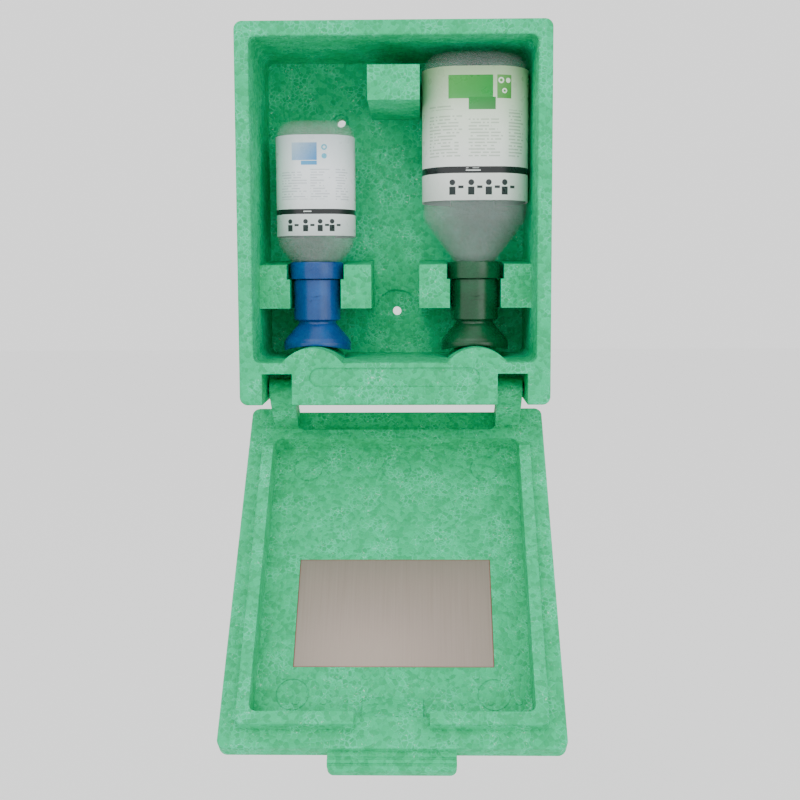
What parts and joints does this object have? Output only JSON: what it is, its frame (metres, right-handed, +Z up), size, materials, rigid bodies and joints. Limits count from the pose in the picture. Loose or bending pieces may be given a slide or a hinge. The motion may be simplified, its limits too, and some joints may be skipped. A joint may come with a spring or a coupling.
{
  "type": "eyewash station",
  "caption": "Foam wall box with a tray lid hinged at its foot, holding two inverted eyewash bottles with eyecups and a mirror in the lid.",
  "frame": {"origin": "axis of the lower screw hole, at the wall face", "axes": "+Z up, front faces -Y, +X to the viewer's right"},
  "size_m": [0.23, 0.2283, 0.5092],
  "materials": {
    "green_foam": "moulded bead foam",
    "mirror_plate": "polished",
    "tape": "foam tape",
    "pin_plastic": "satin",
    "bottle_plastic": "translucent",
    "saline": "clear liquid",
    "small_label_print": "printed film",
    "large_label_print": "printed film",
    "blue_plastic": "satin",
    "dark_green_plastic": "satin",
    "white_plastic": "satin"
  },
  "bodies": {
    "box": {"wall_box": "green_foam", "hinge_pin_left": "pin_plastic", "hinge_pin_right": "pin_plastic"},
    "lid": {"lid": "green_foam", "mirror": "mirror_plate", "mirror_tape": "tape"},
    "small_cup": {"small_eyecup": "blue_plastic", "small_nozzle": "white_plastic"},
    "small_bottle": {"small_bottle": "bottle_plastic", "small_saline": "saline", "small_label": "small_label_print", "small_collar": "blue_plastic", "small_seal": "white_plastic"},
    "large_cup": {"large_eyecup": "dark_green_plastic", "large_nozzle": "white_plastic"},
    "large_bottle": {"large_bottle": "bottle_plastic", "large_saline": "saline", "large_label": "large_label_print", "large_collar": "dark_green_plastic", "large_seal": "white_plastic"}
  },
  "joints": [
    {"name": "lid_hinge", "type": "hinge", "parent": "box", "child": "lid", "pos_m": [0, -0.0665, -0.059], "axis": [1, 0, 0], "range_deg": [-137, 0]},
    {"name": "small_pull_out", "type": "slide", "parent": "box", "child": "small_cup", "axis": [0, -1, 0], "range_m": [0, 0.11]},
    {"name": "small_twist", "type": "hinge", "parent": "small_cup", "child": "small_bottle", "pos_m": [-0.061, -0.052, 0.025], "axis": [0, 0, 1], "range_deg": [0, 25]},
    {"name": "large_pull_out", "type": "slide", "parent": "box", "child": "large_cup", "axis": [0, -1, 0], "range_m": [0, 0.11]},
    {"name": "large_twist", "type": "hinge", "parent": "large_cup", "child": "large_bottle", "pos_m": [0.061, -0.052, 0.025], "axis": [0, 0, 1], "range_deg": [0, 25]}
  ]
}
